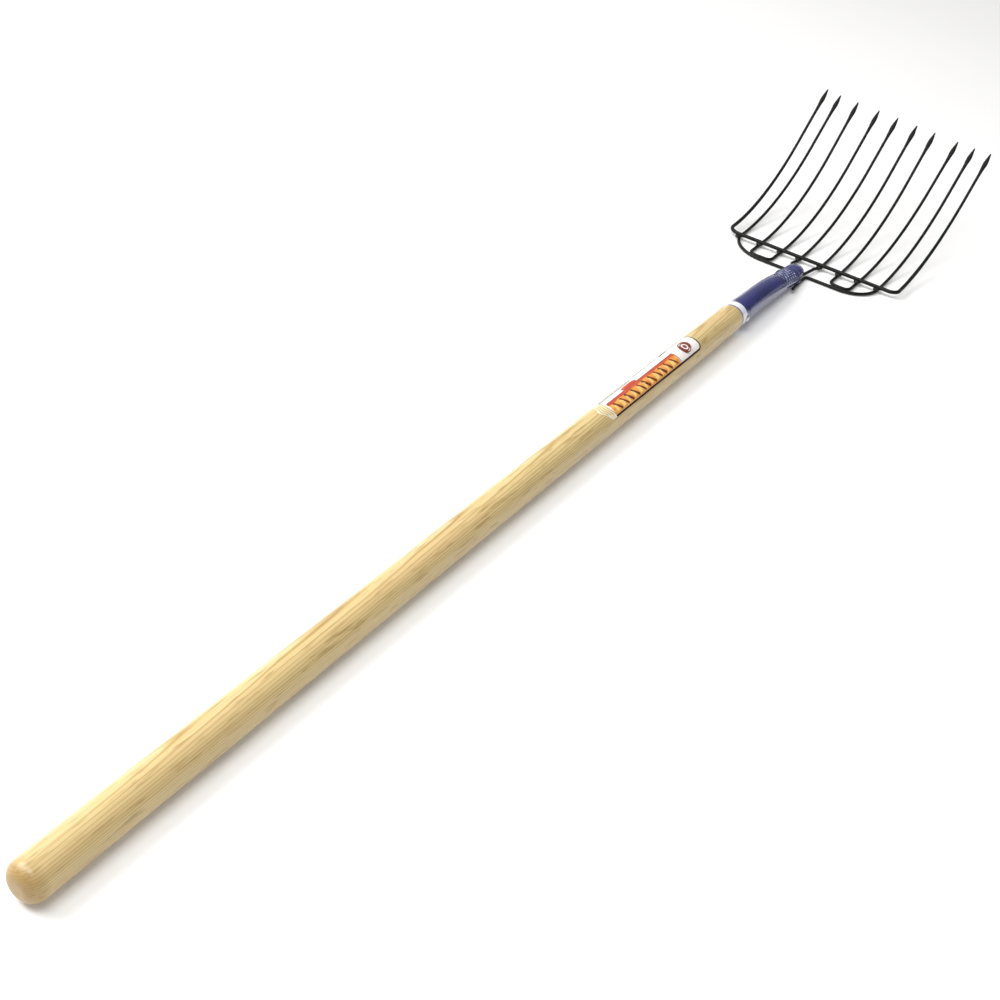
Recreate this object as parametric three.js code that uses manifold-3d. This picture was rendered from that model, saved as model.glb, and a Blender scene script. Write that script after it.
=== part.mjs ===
// A ten-tine hay and bedding fork: a turned hardwood handle, a bent steel ferrule riveted on its end,
// and a head of seven bent steel rods welded where they cross.
//
// Millimetres, +Z up. The fork lies on its back with its points up: +X runs along the handle to the
// points and +Y to the left of someone who looks that way. The design is drawn about the middle of the
// ferrule's mouth, with the handle's axis along X, and the last lines stand it on z = 0.

import * as THREE from 'three';
import { mergeVertices } from 'three/addons/utils/BufferGeometryUtils.js';
import Module from 'manifold-3d';

const wasm = await Module();
wasm.setup();

// Clearance between pieces that touch on the real fork.
const GAP = 0.3;

// Handle.
const HANDLE_SHOWN = 1160;
const HANDLE_IN_FERRULE = 60;
const HANDLE_RADIUS = 18.25;
const SHOULDER_RADIUS = 17.75;
const SHOULDER_TAPER = 110;
const SHOULDER_CHAMFER = 1;
const SPIGOT_RADIUS = 15.3;
const SPIGOT_END_RADIUS = 14;
const BUTT_FLAT_RADIUS = 6;
const BUTT_DOME = 12;
const BUTT_STEPS = 5;
const HANDLE_SIDES = 32;

// Ferrule: a tube that bends down towards the head, and is pressed flat to a neck round the tangs.
const FERRULE_LENGTH = 236;
const FERRULE_WALL = 1.5;
const FERRULE_SIDES = 24;
// Where the ferrule's middle is, and its outside's half width and half height, at each distance from
// its mouth.
const FERRULE_SECTIONS = [
  { x: 0, y: 0, z: 0, width: 17.1, height: 17.1 },
  { x: 25, y: 0, z: -0.1, width: 16.9, height: 16.9 },
  { x: 50, y: 0, z: -0.3, width: 16.3, height: 16.3 },
  { x: 75, y: 0, z: -0.9, width: 16, height: 16 },
  { x: 110, y: 0, z: -2.5, width: 16, height: 15.4 },
  { x: 140, y: 0, z: -5, width: 15.8, height: 13.8 },
  { x: 168, y: 0, z: -7.9, width: 15.4, height: 11.7 },
  { x: 178, y: 0, z: -9, width: 15.3, height: 10.8 },
  { x: 190, y: 0.3, z: -10.2, width: 15.2, height: 9.8 },
  { x: 202, y: 0.9, z: -11, width: 14.6, height: 9 },
  { x: 214, y: 1.9, z: -11.8, width: 13.9, height: 8.3 },
  { x: 222, y: 2.7, z: -12.2, width: 13.3, height: 7.7 },
  { x: 228, y: 3.3, z: -12.9, width: 12.4, height: 7 },
  { x: 232, y: 3.7, z: -13.2, width: 11, height: 6.2 },
  { x: 235, y: 4, z: -13.4, width: 9, height: 4.9 },
  { x: 236, y: 4, z: -13.4, width: 7.4, height: 3.9 },
];

// Rivet through the ferrule and the handle.
const RIVET_X = 14.5;
const RIVET_RADIUS = 2.4;
const RIVET_HEAD_RADIUS = 4.2;
const RIVET_HEAD_HEIGHT = 1.9;
const RIVET_SIDES = 16;

// Label round the top of the handle. Angles are about the handle's axis, from +Y up towards +Z.
const LABEL_START_X = -352;
const LABEL_END_X = -118.5;
const LABEL_POINT = 12;
const LABEL_CORNER = 7;
const LABEL_MIDDLE_ANGLE = THREE.MathUtils.degToRad(96);
const LABEL_HALF_ANGLE = THREE.MathUtils.degToRad(49);
const LABEL_THICKNESS = 0.35;
const LABEL_SIDES = 60;

// Rods of the head.
const TINE_RADIUS = 2.15;
const BASE_RADIUS = 2.3;
const CROSSBAR_RADIUS = 2.7;
const TAPER_START = 110;
const TAPER_END = 310;
const ROD_SIDES = 8;
const CHORD_ERROR = 0.25;

// Each tine runs level from the crossbar, rises along an arc and ends straight in a flattened point.
// Its knee is where its level run and its straight end would meet. The points lie on a slight slant.
const TINE_LEVEL = -17.9;
const TINE_KNEE_X = 403.4;
const TINE_ARC_RADIUS = 330;
const TINE_RISE = THREE.MathUtils.degToRad(40);
const KNEE_TO_POINT = 213.3;
const OUTER_KNEE_TO_POINT = 208.3;
const TINE_SLANT = 0.061;
// Half width and half thickness of a flattened point, at each distance from its end.
const POINT_SECTIONS = [
  { from: 0, width: 0.8, thickness: 0.6 },
  { from: 6, width: 1.9, thickness: 0.95 },
  { from: 19, width: 3.5, thickness: 1.45 },
  { from: 30, width: 2.7, thickness: 1.85 },
  { from: 42, width: TINE_RADIUS, thickness: TINE_RADIUS },
];

// Where each tine stands across the fork, at the crossbar and at its point, counted from the left. The
// head is set by hand, so the spacing isn't quite even.
const TINES = [
  { base: 132.6, point: 136.1 },
  { base: 112.1, point: 114.4 },
  { base: 78.3, point: 84 },
  { base: 45.3, point: 48 },
  { base: 15.8, point: 16.3 },
  { base: -17.3, point: -15.8 },
  { base: -46.4, point: -45.7 },
  { base: -75.2, point: -83.2 },
  { base: -104.7, point: -110.3 },
  { base: -131.1, point: -136.4 },
];

// Bars and bends.
const WELD_GAP = 1;
const CROSSBAR_X = 267.3;
const CROSSBAR_LEVEL = TINE_LEVEL + BASE_RADIUS + WELD_GAP + CROSSBAR_RADIUS;
const OUTER_LEFT_CORNER_Y = 129.4;
const OUTER_RIGHT_CORNER_Y = -133.2;
const OUTER_LEFT_BEND = 18;
const OUTER_RIGHT_BEND = 12;
const OUTER_LEFT_ARC_RADIUS = 312;
const REAR_BAR_X = 226.8;
const LEFT_BOW_BEND = 55.5;
const RIGHT_BOW_BEND = 43.5;
const INNER_LEFT_BASE_X = 234.2;
const INNER_RIGHT_BASE_X = 235.5;
const INNER_BEND = 9;

// Tangs: the rear bows' lie along the neck's sides, the centre tines' run through the ferrule.
const LEFT_SIDE_TANG = [
  { at: new THREE.Vector3(REAR_BAR_X, 16.2, TINE_LEVEL), radius: 6 },
  { at: new THREE.Vector3(205, 16.4, -15.2), radius: 30 },
  { at: new THREE.Vector3(156, 18.5, -8.3) },
];
const RIGHT_SIDE_TANG = [
  { at: new THREE.Vector3(REAR_BAR_X, -14, TINE_LEVEL), radius: 6 },
  { at: new THREE.Vector3(205, -14.6, -16.8), radius: 30 },
  { at: new THREE.Vector3(165, -18.7, -12.4) },
];
const LEFT_CENTRE_TANG = [
  { at: new THREE.Vector3(266, 16, TINE_LEVEL), radius: 30 },
  { at: new THREE.Vector3(248, 17.8, -16.2), radius: 12 },
  { at: new THREE.Vector3(233, 12, -14.8), radius: 12 },
  { at: new THREE.Vector3(150, 7.8, -6.4), radius: 60 },
  { at: new THREE.Vector3(75, 7.6, -0.8), radius: 60 },
  { at: new THREE.Vector3(34, 7.6, -0.8) },
];
const RIGHT_CENTRE_TANG = [
  { at: new THREE.Vector3(268, -17, TINE_LEVEL), radius: 12 },
  { at: new THREE.Vector3(256, -13.9, -15.5), radius: 12 },
  { at: new THREE.Vector3(228, -10.6, -14.8), radius: 30 },
  { at: new THREE.Vector3(212, -8.2, -13.2), radius: 30 },
  { at: new THREE.Vector3(150, -7.8, -6.4), radius: 60 },
  { at: new THREE.Vector3(75, -7.6, -0.8), radius: 60 },
  { at: new THREE.Vector3(34, -7.6, -0.8) },
];

// Welds: half length along X, half width along Y and half height of each bead.
const CROSSING_WELD = new THREE.Vector3(5.6, 4.8, 3);
const REAR_BAR_WELD = new THREE.Vector3(4, 7, 2.2);
const TANG_WELD = new THREE.Vector3(11, 1.9, 2.3);
const REAR_BAR_WELD_Y = 61;
const LEFT_TANG_WELD_AT = new THREE.Vector3(191, 16.7, -10);
const RIGHT_TANG_WELD_AT = new THREE.Vector3(193, -14.9, -13.6);
const WELD_SIDES = 10;
const WELD_RINGS = 6;

// Finishes.
const WOOD = new THREE.MeshStandardMaterial({ color: 0xe8cf98, roughness: 0.45, metalness: 0 });
const BLUE_PAINT = new THREE.MeshStandardMaterial({ color: 0x2b3272, roughness: 0.25, metalness: 0.1 });
const BLACK_STEEL = new THREE.MeshStandardMaterial({ color: 0x17191a, roughness: 0.4, metalness: 0.6 });
const WELD_STEEL = new THREE.MeshStandardMaterial({ color: 0x202224, roughness: 0.55, metalness: 0.6 });
const BRIGHT_STEEL = new THREE.MeshStandardMaterial({ color: 0xb9bcc2, roughness: 0.3, metalness: 0.9 });
const PAPER = new THREE.MeshStandardMaterial({ color: 0xf4efe9, roughness: 0.35, metalness: 0 });

// Merges a geometry's shared vertices and drops the empty triangles at a lathe's axis.
function closed(geometry) {
  geometry.deleteAttribute('normal');
  geometry.deleteAttribute('uv');
  const merged = mergeVertices(geometry, 1e-4);
  const index = merged.getIndex().array;
  const kept = [];
  for (let i = 0; i < index.length; i += 3) {
    const [a, b, c] = index.slice(i, i + 3);
    if (a !== b && b !== c && c !== a) kept.push(a, b, c);
  }
  merged.setIndex(kept);
  return merged;
}

function solidOf(geometry) {
  const shape = closed(geometry);
  return new wasm.Manifold(new wasm.Mesh({
    numProp: 3,
    vertProperties: new Float32Array(shape.getAttribute('position').array),
    triVerts: new Uint32Array(shape.getIndex().array),
  }));
}

function geometryOf(solid) {
  const mesh = solid.getMesh();
  const geometry = new THREE.BufferGeometry();
  geometry.setAttribute('position', new THREE.BufferAttribute(mesh.vertProperties, 3));
  geometry.setIndex(new THREE.BufferAttribute(mesh.triVerts, 1));
  geometry.computeVertexNormals();
  return geometry;
}

function largestBody(solid) {
  const bodies = solid.decompose();
  bodies.sort((a, b) => b.volume() - a.volume());
  return bodies[0];
}

// Turns a profile of [radius, distance] points about the X axis.
function turned(profile, sides) {
  const points = profile.map(([radius, x]) => new THREE.Vector2(radius, x));
  return new THREE.LatheGeometry(points, sides).rotateZ(-Math.PI / 2);
}

function interpolate(table, key, at, value) {
  const last = table[table.length - 1];
  if (at >= last[key]) return last[value];
  const i = Math.max(1, table.findIndex((row) => row[key] > at));
  const share = (at - table[i - 1][key]) / (table[i][key] - table[i - 1][key]);
  return THREE.MathUtils.lerp(table[i - 1][value], table[i][value], share);
}

// A path of straight runs joined by round bends: each corner is a point and the radius it is bent to.
function bentPath(corners) {
  const points = [corners[0].at.clone()];
  for (let i = 1; i < corners.length - 1; i += 1) {
    const { at, radius } = corners[i];
    const back = corners[i - 1].at.clone().sub(at).normalize();
    const ahead = corners[i + 1].at.clone().sub(at).normalize();
    const turn = Math.PI - back.angleTo(ahead);
    const reach = radius * Math.tan(turn / 2);
    const toCentre = back.clone().add(ahead).normalize();
    const centre = at.clone().addScaledVector(toCentre, radius / Math.cos(turn / 2));
    const start = at.clone().addScaledVector(back, reach).sub(centre);
    const end = at.clone().addScaledVector(ahead, reach).sub(centre);
    const axis = start.clone().cross(end).normalize();
    const steps = Math.max(1, Math.ceil(turn / (2 * Math.acos(1 - CHORD_ERROR / radius))));
    for (let step = 0; step <= steps; step += 1) {
      points.push(start.clone().applyAxisAngle(axis, (turn * step) / steps).add(centre));
    }
  }
  points.push(corners[corners.length - 1].at.clone());
  return points;
}

// The direction of a path at one of its points, halfway between its two runs there.
function tangentAt(points, i) {
  const tangent = new THREE.Vector3();
  if (i > 0) tangent.add(points[i].clone().sub(points[i - 1]).normalize());
  if (i < points.length - 1) tangent.add(points[i + 1].clone().sub(points[i]).normalize());
  return tangent.normalize();
}

// Bends a capped cylinder along stations, each with a centre, a half width and a half height. The width
// stays level, so a corner of the section always points straight down.
function swept(stations, sides) {
  const runs = stations.length - 1;
  const geometry = new THREE.CylinderGeometry(1, 1, 1, sides, runs);
  const centres = stations.map(({ centre }) => centre);
  const frames = centres.map((centre, i) => {
    const tangent = tangentAt(centres, i);
    const across = new THREE.Vector3(0, 0, 1).cross(tangent).normalize();
    return { across, upward: tangent.clone().cross(across) };
  });
  const position = geometry.getAttribute('position');
  for (let i = 0; i < position.count; i += 1) {
    const at = Math.round((0.5 - position.getY(i)) * runs);
    const { centre, halfWidth, halfHeight } = stations[at];
    const point = centre.clone()
      .addScaledVector(frames[at].across, position.getX(i) * halfWidth)
      .addScaledVector(frames[at].upward, position.getZ(i) * halfHeight);
    position.setXYZ(i, point.x, point.y, point.z);
  }
  return geometry;
}

// The point at a distance along a path.
function pointAlong(points, distance) {
  let left = distance;
  for (let i = 1; i < points.length; i += 1) {
    const run = points[i].distanceTo(points[i - 1]);
    if (left <= run) return points[i - 1].clone().lerp(points[i], left / run);
    left -= run;
  }
  return points[points.length - 1].clone();
}

// A rod that starts in a flattened point, and ends in one too where pointedEnds is 2.
function rod({ corners, baseRadius, pointedEnds }, grow = 0) {
  const path = bentPath(corners);
  const distances = [0];
  for (let i = 1; i < path.length; i += 1) {
    distances.push(distances[i - 1] + path[i].distanceTo(path[i - 1]));
  }
  const total = distances[distances.length - 1];
  const pointDistances = POINT_SECTIONS.slice(1).map(({ from }) => from);
  const added = pointedEnds === 2 ? pointDistances.map((from) => total - from) : [];
  const all = [...distances, ...pointDistances, ...added].sort((a, b) => a - b);
  const pointLength = pointDistances[pointDistances.length - 1];
  const stations = all.map((distance) => {
    const fromPoint = pointedEnds === 2 ? Math.min(distance, total - distance) : distance;
    const share = THREE.MathUtils.smoothstep(fromPoint, TAPER_START, TAPER_END);
    const round = THREE.MathUtils.lerp(TINE_RADIUS, baseRadius, share);
    const flat = fromPoint < pointLength;
    const width = flat ? interpolate(POINT_SECTIONS, 'from', fromPoint, 'width') : round;
    const thickness = flat ? interpolate(POINT_SECTIONS, 'from', fromPoint, 'thickness') : round;
    return {
      centre: pointAlong(path, distance),
      halfWidth: width + grow,
      halfHeight: thickness + grow,
    };
  });
  return swept(stations, ROD_SIDES);
}

// A tine's corners from its point to its knee.
function tine(number, options = {}) {
  const { base, point } = TINES[number - 1];
  const { level = TINE_LEVEL, kneeToPoint = KNEE_TO_POINT, radius = TINE_ARC_RADIUS } = options;
  const rise = kneeToPoint + TINE_SLANT * point;
  const kneeRun = radius * Math.tan(TINE_RISE / 2);
  const kneeY = THREE.MathUtils.lerp(base, point, kneeRun / (kneeRun + rise));
  const knee = new THREE.Vector3(TINE_KNEE_X, kneeY, level);
  const end = new THREE.Vector3(
    TINE_KNEE_X + rise * Math.cos(TINE_RISE),
    point,
    level + rise * Math.sin(TINE_RISE),
  );
  return [{ at: end }, { at: knee, radius }];
}

function corner(x, y, z, radius) {
  return { at: new THREE.Vector3(x, y, z), radius };
}

function outerRod() {
  const options = { level: CROSSBAR_LEVEL, kneeToPoint: OUTER_KNEE_TO_POINT };
  return {
    corners: [
      ...tine(1, { ...options, radius: OUTER_LEFT_ARC_RADIUS }),
      corner(CROSSBAR_X, OUTER_LEFT_CORNER_Y, CROSSBAR_LEVEL, OUTER_LEFT_BEND),
      corner(CROSSBAR_X, OUTER_RIGHT_CORNER_Y, CROSSBAR_LEVEL, OUTER_RIGHT_BEND),
      ...tine(10, options).reverse(),
    ],
    baseRadius: CROSSBAR_RADIUS,
    pointedEnds: 2,
  };
}

// A rear bow: its tine, the rear bar, and a tang that turns back beside the ferrule's neck.
function rearBow(number, bend, tang) {
  return {
    corners: [
      ...tine(number),
      corner(REAR_BAR_X, TINES[number - 1].base, TINE_LEVEL, bend),
      ...tang,
    ],
    baseRadius: BASE_RADIUS,
    pointedEnds: 1,
  };
}

// Two tines and the short base between them.
function innerRod(first, second, baseX) {
  return {
    corners: [
      ...tine(first),
      corner(baseX, TINES[first - 1].base, TINE_LEVEL, INNER_BEND),
      corner(baseX, TINES[second - 1].base, TINE_LEVEL, INNER_BEND),
      ...tine(second).reverse(),
    ],
    baseRadius: BASE_RADIUS,
    pointedEnds: 2,
  };
}

// A centre tine, whose tail bends in behind the crossbar, enters the ferrule's end and runs on into the
// handle's end.
function centreTine(number, tang) {
  return { corners: [...tine(number), ...tang], baseRadius: BASE_RADIUS, pointedEnds: 1 };
}

const RODS = {
  outer_rod: outerRod(),
  rear_bow_left: rearBow(2, LEFT_BOW_BEND, LEFT_SIDE_TANG),
  rear_bow_right: rearBow(9, RIGHT_BOW_BEND, RIGHT_SIDE_TANG),
  inner_rod_left: innerRod(3, 4, INNER_LEFT_BASE_X),
  inner_rod_right: innerRod(8, 7, INNER_RIGHT_BASE_X),
  centre_tine_left: centreTine(5, LEFT_CENTRE_TANG),
  centre_tine_right: centreTine(6, RIGHT_CENTRE_TANG),
};

function clearanceOf(...names) {
  return names.map((name) => solidOf(rod(RODS[name], GAP)));
}

function ferruleSweep(sections, grow) {
  const stations = sections.map(({ x, y, z, width, height }) => ({
    centre: new THREE.Vector3(x, y, z),
    halfWidth: width + grow,
    halfHeight: height + grow,
  }));
  return solidOf(swept(stations, FERRULE_SIDES));
}

function rivetHole() {
  const length = 3 * HANDLE_RADIUS;
  const hole = new THREE.CylinderGeometry(RIVET_RADIUS + GAP, RIVET_RADIUS + GAP, length, RIVET_SIDES);
  return solidOf(hole.translate(RIVET_X, 0, 0));
}

function handle() {
  const profile = [[0, -HANDLE_SHOWN]];
  const domeWidth = HANDLE_RADIUS - BUTT_FLAT_RADIUS;
  for (let step = 0; step <= BUTT_STEPS; step += 1) {
    const angle = (step / BUTT_STEPS) * (Math.PI / 2);
    const radius = BUTT_FLAT_RADIUS + domeWidth * Math.sin(angle);
    profile.push([radius, -HANDLE_SHOWN + BUTT_DOME * (1 - Math.cos(angle))]);
  }
  profile.push([HANDLE_RADIUS, -SHOULDER_TAPER]);
  profile.push([SHOULDER_RADIUS, -GAP - SHOULDER_CHAMFER]);
  profile.push([SHOULDER_RADIUS - SHOULDER_CHAMFER, -GAP]);
  profile.push([SPIGOT_RADIUS, -GAP]);
  profile.push([SPIGOT_END_RADIUS, HANDLE_IN_FERRULE]);
  profile.push([0, HANDLE_IN_FERRULE]);
  let solid = solidOf(turned(profile, HANDLE_SIDES)).subtract(rivetHole());
  for (const tang of clearanceOf('centre_tine_left', 'centre_tine_right')) solid = solid.subtract(tang);
  return geometryOf(solid);
}

function ferrule() {
  const mouth = { ...FERRULE_SECTIONS[0], x: -2 };
  const end = FERRULE_SECTIONS[FERRULE_SECTIONS.length - 3];
  const bore = [mouth, ...FERRULE_SECTIONS.slice(0, -2), { ...end, x: FERRULE_LENGTH - FERRULE_WALL }];
  let solid = ferruleSweep(FERRULE_SECTIONS, 0)
    .subtract(ferruleSweep(bore, -FERRULE_WALL))
    .subtract(rivetHole());
  const tangs = clearanceOf('centre_tine_left', 'centre_tine_right', 'rear_bow_left', 'rear_bow_right');
  for (const tang of tangs) solid = solid.subtract(tang);
  return geometryOf(largestBody(solid));
}

function ferruleRivet() {
  const seat = FERRULE_SECTIONS[0].width + GAP;
  const half = [
    [RIVET_RADIUS, seat],
    [RIVET_HEAD_RADIUS, seat],
    [RIVET_HEAD_RADIUS * 0.85, seat + RIVET_HEAD_HEIGHT * 0.6],
    [RIVET_HEAD_RADIUS * 0.45, seat + RIVET_HEAD_HEIGHT],
    [0, seat + RIVET_HEAD_HEIGHT],
  ];
  const profile = [...half.map(([radius, y]) => [radius, -y]).reverse(), ...half];
  const points = profile.map(([radius, y]) => new THREE.Vector2(radius, y));
  return closed(new THREE.LatheGeometry(points, RIVET_SIDES).translate(RIVET_X, 0, 0));
}

// The label's outline: a shallow point towards the butt, and two rounded corners towards the ferrule.
function labelOutline() {
  const halfWidth = HANDLE_RADIUS * Math.sin(LABEL_HALF_ANGLE);
  const cornerX = LABEL_END_X - LABEL_CORNER;
  const cornerY = halfWidth - LABEL_CORNER;
  const outline = new THREE.Shape();
  outline.moveTo(LABEL_START_X + LABEL_POINT, -halfWidth);
  outline.lineTo(cornerX, -halfWidth);
  outline.absarc(cornerX, -cornerY, LABEL_CORNER, -Math.PI / 2, 0, false);
  outline.lineTo(LABEL_END_X, cornerY);
  outline.absarc(cornerX, cornerY, LABEL_CORNER, 0, Math.PI / 2, false);
  outline.lineTo(LABEL_START_X + LABEL_POINT, halfWidth);
  outline.lineTo(LABEL_START_X, 0);
  outline.closePath();
  return outline;
}

function label() {
  const inner = HANDLE_RADIUS + GAP;
  const outer = inner + LABEL_THICKNESS;
  const start = LABEL_START_X - LABEL_POINT;
  const end = LABEL_END_X + LABEL_POINT;
  const ring = turned([[inner, start], [outer, start], [outer, end], [inner, end], [inner, start]], LABEL_SIDES);
  const prism = new THREE.ExtrudeGeometry(labelOutline(), {
    depth: 2 * HANDLE_RADIUS,
    bevelEnabled: false,
    curveSegments: 6,
  });
  const along = new THREE.Vector3(1, 0, 0);
  const outward = new THREE.Vector3(0, Math.cos(LABEL_MIDDLE_ANGLE), Math.sin(LABEL_MIDDLE_ANGLE));
  const across = outward.clone().cross(along);
  prism.applyMatrix4(new THREE.Matrix4().makeBasis(along, across, outward));
  return geometryOf(solidOf(ring).intersect(solidOf(prism)));
}

// A weld bead: a lump of the given half sizes, less the pieces that it joins.
function weld(at, halfSizes, joined) {
  const lump = new THREE.SphereGeometry(1, WELD_SIDES, WELD_RINGS);
  lump.rotateX(Math.PI / 2);
  lump.scale(halfSizes.x, halfSizes.y, halfSizes.z);
  lump.translate(at.x, at.y, at.z);
  let solid = solidOf(lump);
  for (const piece of joined) solid = solid.subtract(piece);
  return geometryOf(largestBody(solid));
}

function crossingWeld(number, rodName) {
  const level = TINE_LEVEL + BASE_RADIUS + WELD_GAP / 2;
  const at = new THREE.Vector3(CROSSBAR_X, TINES[number - 1].base, level);
  return weld(at, CROSSING_WELD, clearanceOf('outer_rod', rodName));
}

function rearBarWeld(side, baseX, bowName, innerName) {
  const at = new THREE.Vector3((REAR_BAR_X + baseX) / 2, side * REAR_BAR_WELD_Y, TINE_LEVEL);
  return weld(at, REAR_BAR_WELD, clearanceOf(bowName, innerName));
}

function tangWeld(at, bowName) {
  return weld(at, TANG_WELD, [...clearanceOf(bowName), ferruleSweep(FERRULE_SECTIONS, GAP)]);
}

const fork = new THREE.Group();

function add(name, geometry, material) {
  const mesh = new THREE.Mesh(geometry, material);
  mesh.name = name;
  fork.add(mesh);
}

add('handle', handle(), WOOD);
add('ferrule', ferrule(), BLUE_PAINT);
add('ferrule_rivet', ferruleRivet(), BRIGHT_STEEL);
add('label', label(), PAPER);
for (const [name, shape] of Object.entries(RODS)) add(name, closed(rod(shape)), BLACK_STEEL);

// One weld for each tine that passes under the crossbar, numbered like its tine.
const CROSSED = {
  2: 'rear_bow_left',
  3: 'inner_rod_left',
  4: 'inner_rod_left',
  5: 'centre_tine_left',
  6: 'centre_tine_right',
  7: 'inner_rod_right',
  8: 'inner_rod_right',
  9: 'rear_bow_right',
};
for (const [number, rodName] of Object.entries(CROSSED)) {
  add(`crossbar_weld_${number}`, crossingWeld(Number(number), rodName), WELD_STEEL);
}
const leftBarWeld = rearBarWeld(1, INNER_LEFT_BASE_X, 'rear_bow_left', 'inner_rod_left');
const rightBarWeld = rearBarWeld(-1, INNER_RIGHT_BASE_X, 'rear_bow_right', 'inner_rod_right');
add('rear_bar_weld_left', leftBarWeld, WELD_STEEL);
add('rear_bar_weld_right', rightBarWeld, WELD_STEEL);
add('tang_weld_left', tangWeld(LEFT_TANG_WELD_AT, 'rear_bow_left'), BLUE_PAINT);
add('tang_weld_right', tangWeld(RIGHT_TANG_WELD_AT, 'rear_bow_right'), BLUE_PAINT);

// At rest the fork lies on the underside of its butt and of its rear bars, so its handle tips a little.
const bellyDrop = BASE_RADIUS - TINE_LEVEL - HANDLE_RADIUS;
fork.rotation.y = -Math.atan2(bellyDrop, HANDLE_SHOWN - BUTT_DOME + REAR_BAR_X);
fork.updateMatrixWorld(true);
const bounds = new THREE.Box3().setFromObject(fork, true);
const middle = bounds.getCenter(new THREE.Vector3());
fork.position.set(-middle.x, -middle.y, -bounds.min.z);

export default fork;
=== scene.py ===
"""Looks for a ten-tine hay and bedding fork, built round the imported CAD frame.

Design coordinates are millimetres from the middle of the ferrule's mouth, with the handle's axis along X,
+Y to the left and +Z up. place() turns them into the row frame, in metres.
"""

import math

import bpy
from mathutils import Matrix, Vector, noise


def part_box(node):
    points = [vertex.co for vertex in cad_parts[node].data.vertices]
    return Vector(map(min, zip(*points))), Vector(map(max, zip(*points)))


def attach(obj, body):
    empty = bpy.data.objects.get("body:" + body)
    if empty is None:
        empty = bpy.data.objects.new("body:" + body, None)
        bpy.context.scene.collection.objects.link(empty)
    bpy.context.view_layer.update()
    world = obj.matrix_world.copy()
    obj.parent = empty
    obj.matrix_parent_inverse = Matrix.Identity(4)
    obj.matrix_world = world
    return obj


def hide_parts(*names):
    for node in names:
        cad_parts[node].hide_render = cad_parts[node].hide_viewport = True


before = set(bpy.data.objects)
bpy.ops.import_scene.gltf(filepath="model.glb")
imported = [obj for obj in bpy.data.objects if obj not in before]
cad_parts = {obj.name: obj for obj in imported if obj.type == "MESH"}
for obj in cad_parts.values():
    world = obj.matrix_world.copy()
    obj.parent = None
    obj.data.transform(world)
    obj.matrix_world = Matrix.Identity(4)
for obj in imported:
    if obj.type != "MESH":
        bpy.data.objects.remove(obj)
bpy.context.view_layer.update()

# ---------------------------------------------------------------------------------------------------
# Dimensions of the part, in millimetres, as in its CAD source.

HANDLE_SHOWN = 1160
HANDLE_IN_FERRULE = 60
HANDLE_RADIUS = 18.25
SHOULDER_RADIUS = 17.75
SHOULDER_TAPER = 110
BUTT_FLAT_RADIUS = 6
BUTT_DOME = 12

# Distance from the mouth, then y and z of the middle, half width and half height.
FERRULE_SECTIONS = [
    (0, 0, 0, 17.1, 17.1), (25, 0, -0.1, 16.9, 16.9), (50, 0, -0.3, 16.3, 16.3),
    (75, 0, -0.9, 16, 16), (110, 0, -2.5, 16, 15.4), (140, 0, -5, 15.8, 13.8),
    (168, 0, -7.9, 15.4, 11.7), (178, 0, -9, 15.3, 10.8), (190, 0.3, -10.2, 15.2, 9.8),
    (202, 0.9, -11, 14.6, 9), (214, 1.9, -11.8, 13.9, 8.3), (222, 2.7, -12.2, 13.3, 7.7),
    (228, 3.3, -12.9, 12.4, 7), (232, 3.7, -13.2, 11, 6.2), (235, 4, -13.4, 9, 4.9),
    (236, 4, -13.4, 7.4, 3.9),
]
RIVET_X = 14.5
# Span of the pale band at the mouth, partly a painted highlight.
RING_START, RING_END = 1.6, 13.5
# Span along the ferrule of the painted highlights on the punch marks.
GLINT_START, GLINT_END = 150.5, 194

LABEL_START_X = -352
LABEL_END_X = -118.5
LABEL_POINT = 12
LABEL_CORNER = 7
LABEL_MIDDLE_ANGLE = 96
LABEL_HALF_ANGLE = 49

TINE_RADIUS = 2.15
BASE_RADIUS = 2.3
CROSSBAR_RADIUS = 2.7
TAPER_START = 110
TAPER_END = 310
TINE_LEVEL = -17.9
TINE_KNEE_X = 403.4
TINE_ARC_RADIUS = 330
TINE_RISE = math.radians(40)
KNEE_TO_POINT = 213.3
OUTER_KNEE_TO_POINT = 208.3
TINE_SLANT = 0.061
POINT_SECTIONS = [(0, 0.8, 0.6), (6, 1.9, 0.95), (19, 3.5, 1.45), (30, 2.7, 1.85), (42, 2.15, 2.15)]
# Each tine's distance from the middle at the crossbar and at its point.
TINES = [
    (132.6, 136.1), (112.1, 114.4), (78.3, 84), (45.3, 48), (15.8, 16.3),
    (-17.3, -15.8), (-46.4, -45.7), (-75.2, -83.2), (-104.7, -110.3), (-131.1, -136.4),
]
CROSSBAR_X = 267.3
CROSSBAR_LEVEL = TINE_LEVEL + BASE_RADIUS + 1 + CROSSBAR_RADIUS
REAR_BAR_X = 226.8
INNER_LEFT_BASE_X = 234.2
INNER_RIGHT_BASE_X = 235.5
REAR_BAR_WELD_Y = 61

# ---------------------------------------------------------------------------------------------------
# From design coordinates to the row frame.

TILT = math.atan2(BASE_RADIUS - TINE_LEVEL - HANDLE_RADIUS, HANDLE_SHOWN - BUTT_DOME + REAR_BAR_X)
handle_low, handle_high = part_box("handle")
COS_TILT, SIN_TILT = math.cos(TILT), math.sin(TILT)
ORIGIN = Vector((
    handle_low.x + (HANDLE_SHOWN * COS_TILT + BUTT_FLAT_RADIUS * SIN_TILT) / 1000,
    (handle_low.y + handle_high.y) / 2,
    handle_low.z + ((HANDLE_SHOWN - BUTT_DOME) * SIN_TILT + HANDLE_RADIUS * COS_TILT) / 1000,
))


def direction(x, y, z):
    """The same direction in the row frame."""
    return Vector((x * COS_TILT - z * SIN_TILT, y, x * SIN_TILT + z * COS_TILT))


def place(x, y, z):
    return direction(x, y, z) / 1000 + ORIGIN


# ---------------------------------------------------------------------------------------------------
# Node helpers.


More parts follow.
